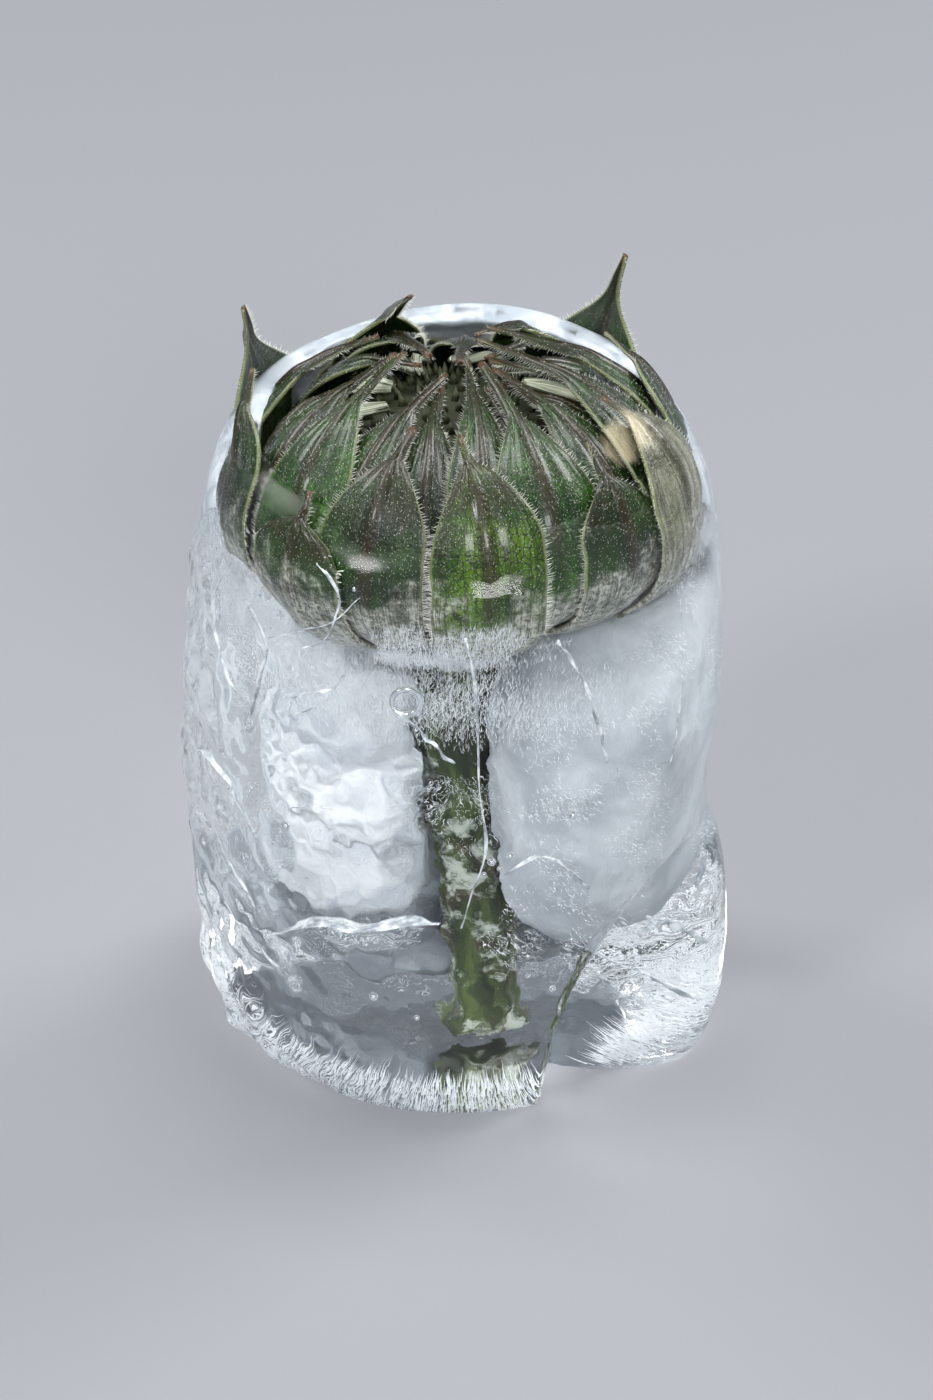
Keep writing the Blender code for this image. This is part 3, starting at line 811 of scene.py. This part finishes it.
# The white heart of the ice: the last water to freeze held all the air, so a milky wall stands
# behind the stem, with a mass at either side of it and a grey one behind its foot. Fine bubble
# threads fray their edges.
MILKY_MASSES = {
    "milky_back": ((5.0, 14.0, 41.0), (21.0, 11.0, 28.0), 1.6, 3.4),
    "milky_right": ((16.6, -2.0, 42.0), (13.4, 18.0, 24.0), 0.8, 3.0),
    "milky_left": ((-9.6, 3.0, 39.0), (7.6, 9.0, 21.0), 2.6, 2.6),
    "milky_foot": ((-1.0, 14.5, 12.5), (23.0, 10.5, 7.0), 2.4, 2.5),
}
THREADS = 46000
THREAD_REACH = 1.5
THREADS_WITHIN = 31.5
THREADS_OFF_STEM = 4.5
THREADS_LOW = 3
THREADS_HIGH = 70
STEM_ROOM = 4.6

milk = Shading("milky ice", roughness=0.5)
milk_at = milk.place()
milk_wisps = milk.ramp(milk.noise(milk_at, 110, 6, 0.62, 0.8), 0.32, 0.68)
# Partly cloud, partly painted light: the left side of the white heart is painted brighter than the right,
# both for its denser cloud and as painted light from behind.
milk_left_cloud_and_light = milk.mixed(milk_wisps, (0.55, 0.61, 0.67, 1), (0.88, 0.90, 0.93, 1))
milk_right = milk.mixed(milk_wisps, (0.42, 0.46, 0.50, 1), (0.58, 0.62, 0.66, 1))
milk_side = milk.ramp(milk.axis(milk_at, "X"), -0.004, 0.010)
milk_upper = milk.mixed(milk_side, milk_left_cloud_and_light, milk_right)
milk_lower = milk.mixed(milk_wisps, (0.20, 0.22, 0.25, 1), (0.46, 0.50, 0.54, 1))
milk.set(base_color=milk.mixed(milk.ramp(milk.axis(milk_at, "Z"), 0.016, 0.022), milk_lower, milk_upper))
milk.relief(milk.noise(milk.place(scale=(1, 1, 0.4)), 260, 6, 0.7, 1.2), 0.55, 0.0010)

for name, (middle, radii, lumps, squareness) in MILKY_MASSES.items():
    def milky_point(way, middle=middle, radii=radii, lumps=lumps, squareness=squareness):
        point = squared_point(way, middle, radii, squareness)
        point += way * lumps * noise.fractal(point * 0.11, 0.9, 2.1, 6)
        stem_middle = Vector(STEM_LEAN) * max(0.0, 1 - point.z / STEM_LEAN_FROM)
        off_stem = point.to_2d() - stem_middle
        if off_stem.length < STEM_ROOM:
            clear_of_stem = stem_middle + off_stem.normalized() * STEM_ROOM
            point.x, point.y = clear_of_stem
        return point

    mass = shaped_sphere(name, 128, 96, milky_point)
    shade_smooth(mass)
    dress(mass, milk.material, "clear_ice")

roots, ways, lengths, widths = [], [], [], []
weights = [mass[1][0] * mass[1][1] * mass[1][2] for mass in MILKY_MASSES.values()]
while len(roots) < THREADS:
    middle, radii, lumps, squareness = chance.choices(list(MILKY_MASSES.values()), weights)[0]
    way = some_way(1.0)
    if way.length > 1:
        continue
    reach = way.length ** 0.5 * THREAD_REACH
    way = way.normalized()
    point = Vector(middle) + Vector([part * radius * reach for part, radius in zip(way, radii)])
    if reach > 0.8 and noise.noise(point * 0.16) < (reach - 0.8) * 0.9 - 0.15:
        continue
    if hypot(point.x, point.y) > THREADS_WITHIN or hypot(point.x - 1, point.y) < THREADS_OFF_STEM:
        continue
    if not THREADS_LOW < point.z < THREADS_HIGH:
        continue
    way = (Vector((point.x, point.y, 0)).normalized() + some_way(0.5)).normalized()
    length = chance.uniform(0.3, 1.3)
    if is_held(point, point + way * length):
        roots.append(point)
        ways.append(way)
        lengths.append(length)
        widths.append(chance.uniform(0.04, 0.10))
threads = joined_spikes("milky_threads", roots, ways, lengths, widths)
thread_white = Shading("bubble thread", roughness=0.4)
thread_grain = thread_white.noise(thread_white.place(), 300)
thread_white.set(base_color=thread_white.mixed(thread_grain, (0.80, 0.86, 0.92, 1), (1, 1, 1, 1)))
dress(threads, thread_white.material, "clear_ice")

# The wisps: where the bud's underside dips into the ice, streamers of bubbles hang from it and a
# thin veil of them lies in front of the neck, so that the green fades into white.
WISPS = 22000
WISP_LOW = 55.0
WISP_HIGH = 74.0
WISPS_WITHIN = 31.3
roots, ways, lengths, widths = [], [], [], []
while len(roots) < WISPS:
    azimuth, height = chance.triangular(-160, 160, 0), mix(WISP_LOW, WISP_HIGH, chance.random() ** 1.1)
    under = max(0.0, 1 - ((height - HEAD_HEIGHT) / (HEAD_DROP + 6.2)) ** 2) ** 0.5 * (HEAD_RADIUS + 6.6)
    near = chance.uniform(11, 24) if height < 62 else under
    reach = near + 2.6 * chance.random() ** 2
    point = at_azimuth(azimuth, reach, height)
    streak = noise.noise(Vector((azimuth * 0.07, height * 0.05, 4.0))) + 0.5 * noise.noise(point * 0.3)
    if reach > WISPS_WITHIN or streak < mix(-0.35, 0.20, (height - WISP_LOW) / (WISP_HIGH - WISP_LOW)):
        continue
    way = (Vector((0, 0, 1)) + at_azimuth(azimuth, 0.25, 0) + some_way(0.35)).normalized()
    length = chance.uniform(0.3, 1.3)
    if is_held(point, point + way * length):
        roots.append(point)
        ways.append(way)
        lengths.append(length)
        widths.append(chance.uniform(0.04, 0.09))
wisps = joined_spikes("bubble_wisps", roots, ways, lengths, widths)
dress(wisps, thread_white.material, "clear_ice")

# The rim: round the back and sides of the head the melting top of the block is satin white, as
# fine rime and tiny bubbles lie just under its skin.
RIM_FROM = -76
RIM_TO = 80
RIM_LOW = 33
RIM_LOW_BEHIND = 47
RIM_HIGH = 57
RIM_OUTER = 0.988
RIM_INNER = 0.945


def rim_point(u, v):
    """A closed band under the block's top edge: round the back by u, and round its section by v."""
    azimuth = mix(RIM_TO, 360 + RIM_FROM, u)
    ends = smoothstep(min(u, 1 - u) * 9)
    turn = 2 * pi * v
    low = mix(RIM_LOW_BEHIND, RIM_LOW, abs(sin(radians(azimuth))) ** 3)
    low += 4 * noise.noise(Vector((cos(radians(azimuth)) * 2.5, sin(radians(azimuth)) * 2.5, 7.0)))
    elevation = radians(mix(low, RIM_HIGH, (1 + sin(turn) * ends) / 2))
    direction = at_azimuth(azimuth, cos(elevation), sin(elevation))
    scale = mix(RIM_INNER, RIM_OUTER, (1 + cos(turn) * ends) / 2)
    middle = Vector((0, 0, ICE_MIDDLE))
    point = middle + (ice_point(direction) - middle) * scale
    return point + Vector((0, 0, 0.35 * noise.noise(point * 0.3)))


rime = laid_grid("rim_rime", 200, 32, rim_point)
close_up(rime, sides=100)
sink(rime)
shade_smooth(rime)
rimed = Shading("rime", roughness=0.6)
rime_grain = rimed.ramp(rimed.noise(rimed.place(), 260, 6, 0.7, 0.6), 0.34, 0.66)
rimed.set(base_color=rimed.mixed(rime_grain, (0.28, 0.32, 0.36, 1), (0.60, 0.64, 0.68, 1)))
rimed.relief(rime_grain, 0.25, 0.0004)
dress(rime, rimed.material, "clear_ice")

# The needle bubbles: air that the first ice drove out ahead of it stands as a band of fine
# radial needles round the clear foot of the block.
NEEDLES = 4200
NEEDLE_WIDTH = 0.13
NEEDLES_LOW = 0.7
NEEDLE_BAND = 6.5
needle_roots, needle_ways, needle_lengths = [], [], []
while len(needle_roots) < NEEDLES:
    azimuth, height = chance.triangular(-180, 180, 0), NEEDLES_LOW + NEEDLE_BAND * chance.random() ** 1.5
    skin = ice_point(Vector((0, 0, height - ICE_MIDDLE)) + at_azimuth(azimuth, 31, 0))
    reach = hypot(skin.x, skin.y) - chance.uniform(0.8, 3.0)
    point = at_azimuth(azimuth, reach - chance.uniform(0, 3), height)
    way = (at_azimuth(azimuth, -1, 0.05 * height) + some_way(0.05)).normalized()
    length = chance.uniform(1.6, 4.2)
    if is_held(point, point + way * length):
        needle_roots.append(point)
        needle_ways.append(way)
        needle_lengths.append(length)
needles = joined_spikes(
    "needle_bubbles", needle_roots, needle_ways, needle_lengths, [NEEDLE_WIDTH] * NEEDLES, sides=4,
)
dress(needles, thread_white.material, "clear_ice")

# The cracks: melting has opened thin cracks under the skin, the longest of which wanders down the
# front, and a ledge and the lobe hold the widest. Each is a flake that runs inwards, painted white
# as the glint of light that a crack mirrors.
CRACK_THICKNESS = 0.07
CRACK_REACH = 0.4
CRACKS = (
    (2.6, (
        (0.6, -33.0, 74.7), (1.9, -32.9, 67.5), (2.4, -32.9, 55.2), (3.3, -32.8, 46.1),
        (1.5, -33.0, 38.7), (0.1, -33.0, 33.3),
    )),
    (1.4, ((-7.7, -32.1, 64.8), (-4.3, -32.7, 61.3), (-0.7, -33.0, 57.4))),
    (9.0, (
        (-23.3, -23.4, 25.1), (-17.8, -27.8, 30.0), (-12.6, -30.5, 30.9), (-7.4, -32.2, 32.9),
        (-2.6, -32.9, 33.8),
    )),
    (2.0, ((5.1, -32.6, 40.8), (9.2, -31.7, 43.0), (12.5, -30.5, 40.7), (15.7, -29.0, 36.6))),
    (2.6, ((17.8, -15, 17.1), (22.0, -15, 14.9), (25.9, -15, 12.1), (29.5, -15, 9.4))),
    (2.4, ((26.9, -14, 33.2), (25.5, -14, 30.4), (24.3, -14, 27.5))),
    (2.2, ((31.2, -13, 30.3), (30.5, -13, 27.8), (29.5, -13, 25.2))),
    (3.0, ((23.2, -14, 19.4), (26.3, -14, 20.9), (29.1, -14, 19.3), (31.0, -14, 17.4))),
    (1.6, ((22.0, -15, 25.7), (23.1, -15, 23.4), (25.1, -15, 21.3))),
    (1.8, ((-28.7, -16.2, 75.7), (-30.1, -13.5, 68.4), (-29.2, -15.3, 62.3), (-27.0, -19.0, 58.8))),
    (1.6, ((-26.5, -19.7, 72.1), (-23.8, -22.8, 68.4), (-24.6, -22.0, 60.8), (-26.3, -19.9, 53.5))),
    (2.2, ((-32.7, -4.4, 42.5), (-30.8, -11.9, 44.9), (-28.0, -17.4, 43.7), (-25.1, -21.5, 39.6))),
    (1.6, ((-32.7, -4.4, 32.5), (-30.3, -13.0, 33.7), (-27.9, -17.6, 30.7), (-25.0, -21.5, 28.1))),
    (1.2, ((-21.0, -25.5, 61.5), (-18.5, -27.3, 63.6), (-15.5, -29.1, 65.3), (-14.0, -29.9, 67.8))),
    (1.2, ((-21.3, -25.2, 59.0), (-18.3, -27.5, 61.4), (-15.8, -29.0, 64.1), (-14.5, -29.6, 66.5))),
    (1.0, ((-20.6, -25.8, 46.2), (-18.1, -27.6, 47.8), (-15.3, -29.2, 48.3))),
    (1.2, ((-18.8, -27.1, 82.2), (-15.3, -29.3, 78.0), (-16.3, -28.7, 72.1), (-19.1, -26.9, 69.6))),
    (1.6, ((-23.8, -22.8, 68.4), (-19.0, -27.0, 72.2), (-15.3, -29.2, 74.7), (-12.6, -30.5, 78.8))),
    (1.4, ((11.8, -30.8, 73.4), (15.6, -29.1, 63.9), (17.5, -28.0, 54.5))),
    (1.2, ((27.9, -17.7, 70.9), (27.5, -18.3, 59.8), (25.7, -20.7, 49.6))),
    (1.2, ((-29.6, -14.7, 23.9), (-26.0, -20.3, 22.5), (-21.3, -25.2, 20.3))),
)


def along_path(points, share):
    """The point this far along a smooth path that runs through all of these points."""
    position = share * (len(points) - 1)
    first = min(int(position), len(points) - 2)
    step = position - first
    before, start, end, after = [
        Vector(points[min(max(first + number, 0), len(points) - 1)]) for number in (-1, 0, 1, 2)
    ]
    bend = (2 * before - 5 * start + 4 * end - after) * step ** 2
    bend += (3 * start - before - 3 * end + after) * step ** 3
    return (2 * start + (end - before) * step + bend) / 2


def crack_place(depth, points, seed):
    def place(u, v):
        point = along_path(points, v)
        sharp = CRACK_REACH * depth * sin(pi * min(max(v, 0.03), 0.97)) ** 0.5
        wander = 0.5 * noise.noise(Vector((v * 6, u * 1.5, seed * 3.3)))
        inwards = Vector((-point.x, -point.y, 0)).normalized()
        inwards.z = 0.45 * noise.noise(point * 0.1)
        return point + inwards * u * sharp + Vector((wander, 0, wander))

    return place


def join_all(pieces, name):
    """Joins these pieces into the first of them, which gets this name."""
    bpy.ops.object.select_all(action="DESELECT")
    for piece in pieces:
        piece.select_set(True)
    bpy.context.view_layer.objects.active = pieces[0]
    bpy.ops.object.join()
    pieces[0].name = pieces[0].data.name = name
    return pieces[0]


flakes = [
    laid_grid(f"crack_{number}", 6, 40, crack_place(depth, points, number))
    for number, (depth, points) in enumerate(CRACKS, 1)
]
cracks = join_all(flakes, "crack_flakes")
sink(cracks)
apply_modifier(cracks, "SOLIDIFY", thickness=CRACK_THICKNESS * MM, offset=0)
shade_smooth(cracks)
# Painted glints: the flakes are white, standing in for the light the cracks mirror, and in the lobe for its
# bright glints.
crack_painted_glint = Shading("crack", roughness=0.2)
crack_grain = crack_painted_glint.ramp(crack_painted_glint.noise(crack_painted_glint.place(), 500, 4, 0.6), 0.35, 0.65)
crack_painted_glint.set(base_color=crack_painted_glint.mixed(crack_grain, (0.30, 0.34, 0.38, 1), (0.90, 0.93, 0.96, 1)))
dress(cracks, crack_painted_glint.material, "clear_ice")

# The round bubbles: a few larger ones lie just under the skin, one of them a ring. They shine, as
# the light is mirrored where the ice meets the air in them.
RING_BUBBLE = (-6.2, -30.4, 64.9)
RING_RADIUS = 1.7
RING_THICKNESS = 0.42
BUBBLE_DEPTH = 1.5
BUBBLES = (
    (3.4, -30.3, 43.4), (4.4, -30.2, 42.4), (2.5, -30.4, 41.7), (5.5, -30.0, 44.1), (-15.3, -26.4, 81.8),
    (-12.9, -27.6, 78.4), (-19.8, -23.2, 42.3), (21.3, -21.9, 87.3), (23.2, -19.8, 83.4),
    (12.2, -27.9, 48.6), (17.1, -25.3, 52.7), (-10.1, -28.8, 21.8), (-5.0, -30.1, 19.6),
    (7.5, -29.6, 25.5), (10.0, -28.8, 21.8),
)
ring_bubble = add_only(
    bpy.ops.mesh.primitive_torus_add, major_radius=RING_RADIUS * MM, minor_radius=RING_THICKNESS * MM,
    major_segments=40, minor_segments=12,
)
for vert in ring_bubble.data.vertices:
    turned = Vector((vert.co.x, vert.co.z, vert.co.y))
    vert.co = Vector(RING_BUBBLE) * MM + turned
in_edit_mode(ring_bubble, (bpy.ops.mesh.normals_make_consistent, {"inside": False}))
shiny = Shading("bubble", roughness=0.12, metallic=0.85)
shine = shiny.noise(shiny.place(), 200)
shiny.set(base_color=shiny.mixed(shine, (0.80, 0.84, 0.88, 1), (0.96, 0.98, 1.0, 1)))
rounds = [ring_bubble]
for place in BUBBLES:
    nearest, normal, face, distance = ice_skin.find_nearest(Vector(place))
    radius = chance.uniform(0.25, 0.65)
    rounds.append(add_only(
        bpy.ops.mesh.primitive_uv_sphere_add, segments=16, ring_count=10,
        radius=radius * MM, location=(nearest - normal * (radius + BUBBLE_DEPTH)) * MM,
    ))
bubbles = join_all(rounds, "round_bubbles")
sink(bubbles)
shade_smooth(bubbles)
dress(bubbles, shiny.material, "clear_ice")

# The studio: a plain pale floor, soft lamps behind, above and at the left, and the camera where
# the photograph was taken from.
floor = add_only(bpy.ops.mesh.primitive_plane_add, size=6)
floor.name = "floor"
floor_paint = Shading("pale floor", roughness=0.6)
floor_paint.set(base_color=(0.34, 0.35, 0.37, 1))
floor.data.materials.append(floor_paint.material)
floor.location.z = -0.0004

world = bpy.data.worlds.new("studio air")
bpy.context.scene.world = world
world.use_nodes = True
world.node_tree.nodes["Background"].inputs["Color"].default_value = (0.20, 0.22, 0.25, 1)
world.node_tree.nodes["Background"].inputs["Strength"].default_value = 1.0

LAMPS = (
    ("back_right_lamp", (0.70, 0.45, 0.60), 0.35, 4.5),
    ("back_left_lamp", (-0.65, 0.40, 0.70), 0.35, 3.5),
    ("left_lamp", (-0.50, -0.45, 0.62), 0.16, 2.2),
    ("top_lamp", (0.05, 0.12, 1.00), 0.40, 4.5),
    ("front_lamp", (0.16, -0.72, 0.50), 0.22, 2.6),
)
for name, place, size, watts in LAMPS:
    bpy.ops.object.light_add(type="AREA", location=place)
    lamp = bpy.context.object
    lamp.name = name
    lamp.data.size = size
    lamp.data.energy = watts
    lamp.rotation_euler = (Vector((0, 0, 0.05)) - Vector(place)).to_track_quat("-Z", "Y").to_euler()

CAMERA_TARGET = Vector((0.0008, 0, 0.045))
CAMERA_ELEVATION = radians(33)
CAMERA_DISTANCE = 0.5
bpy.ops.object.camera_add()
camera = bpy.context.object
back = Vector((0, -cos(CAMERA_ELEVATION), sin(CAMERA_ELEVATION)))
camera.location = CAMERA_TARGET + back * CAMERA_DISTANCE
camera.rotation_euler = (-back).to_track_quat("-Z", "Y").to_euler()
camera.data.lens = 100
camera.data.sensor_width = 36
camera.data.clip_start = 0.01
bpy.context.scene.camera = camera
bpy.context.scene.view_settings.view_transform = "Standard"
bpy.context.scene.cycles.transmission_bounces = 16
bpy.context.scene.cycles.max_bounces = 20
